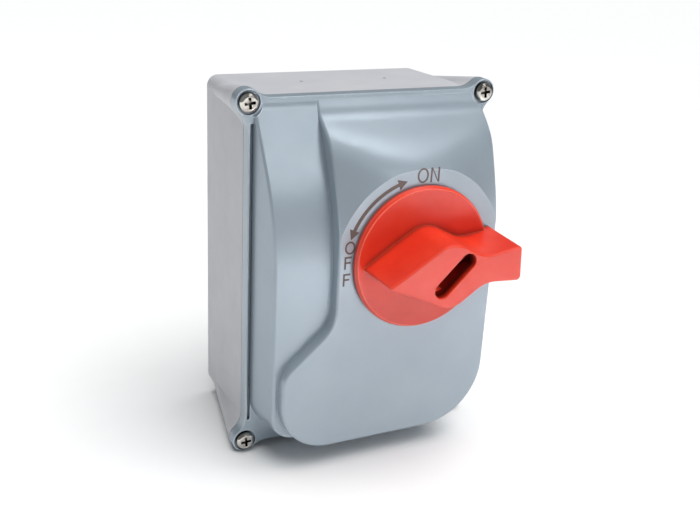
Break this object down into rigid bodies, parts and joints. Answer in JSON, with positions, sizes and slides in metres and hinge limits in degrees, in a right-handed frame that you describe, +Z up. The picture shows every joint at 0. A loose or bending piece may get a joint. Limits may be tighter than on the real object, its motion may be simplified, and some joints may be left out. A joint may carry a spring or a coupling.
{
  "type": "rotary isolator switch",
  "caption": "Wall-mounted rotary isolator: grey two-part moulded enclosure with corner cover screws, a red lockable handle that turns from OFF to ON, and the switch inside.",
  "frame": {"origin": "centre of the flat wall face of the rear housing", "axes": "+Z up the wall, +X to the right as seen from the front, +Y into the wall, so the handle points to -Y"},
  "size_m": [0.1482, 0.1351, 0.2028],
  "materials": {
    "enclosure_back": "satin moulded plastic, light grey",
    "enclosure_cover": "semi-gloss moulded plastic, pale blue grey",
    "red_plastic": "semi-gloss moulded plastic, signal red",
    "bearing_plastic": "black acetal",
    "insulator_plastic": "dark grey moulded phenolic",
    "switch_head_plastic": "light grey moulded plastic",
    "seal_rubber": "black elastomer",
    "screw_steel": "bright plated steel",
    "zinc_steel": "zinc plated steel",
    "spring_steel": "spring steel",
    "brass": "machined brass",
    "contact_copper": "copper with silvered tips",
    "print_ink": "dark printed marks"
  },
  "bodies": {
    "enclosure": {"rear_housing": "enclosure_back", "threaded_inserts": "brass", "front_cover": "enclosure_cover", "cover_gasket": "seal_rubber", "cover_screws": "screw_steel", "handle_bushing": "bearing_plastic", "stem_oring": "seal_rubber", "detent_plungers": "bearing_plastic", "detent_springs": "spring_steel", "switch_head": "switch_head_plastic", "mounting_plate": "insulator_plastic", "contact_deck_rear": "insulator_plastic", "contact_deck_middle": "insulator_plastic", "contact_deck_front": "insulator_plastic", "assembly_screws": "zinc_steel", "line_contacts": "contact_copper", "line_clamp_washers": "zinc_steel", "line_terminal_screws": "zinc_steel", "load_contacts": "contact_copper", "load_clamp_washers": "zinc_steel", "load_terminal_screws": "zinc_steel", "auxiliary_block": "switch_head_plastic", "auxiliary_screws": "zinc_steel", "mounting_rail": "zinc_steel", "rail_screws": "zinc_steel", "rail_latch": "bearing_plastic", "earth_bar": "brass", "earth_screws": "zinc_steel"},
    "handle": {"rotary_handle": "red_plastic", "stop_plate": "zinc_steel", "shaft_coupling": "bearing_plastic", "coupling_screw": "zinc_steel"},
    "rotor": {"drive_shaft": "zinc_steel", "contact_rotor": "insulator_plastic", "moving_bridges": "contact_copper", "detent_cam": "bearing_plastic"}
  },
  "joints": [
    {"name": "handle_turn", "type": "hinge", "parent": "enclosure", "child": "handle", "pos_m": [0.0171, -0.1, 0.0163], "axis": [0, 1, 0], "range_deg": [0, 90]},
    {"name": "rotor_turn", "type": "hinge", "parent": "enclosure", "child": "rotor", "pos_m": [0.0171, -0.05, 0.0163], "axis": [0, 1, 0], "range_deg": [0, 90]}
  ],
  "couplings": [
    {"joint": "rotor_turn", "follows": "handle_turn", "ratio": 1}
  ]
}
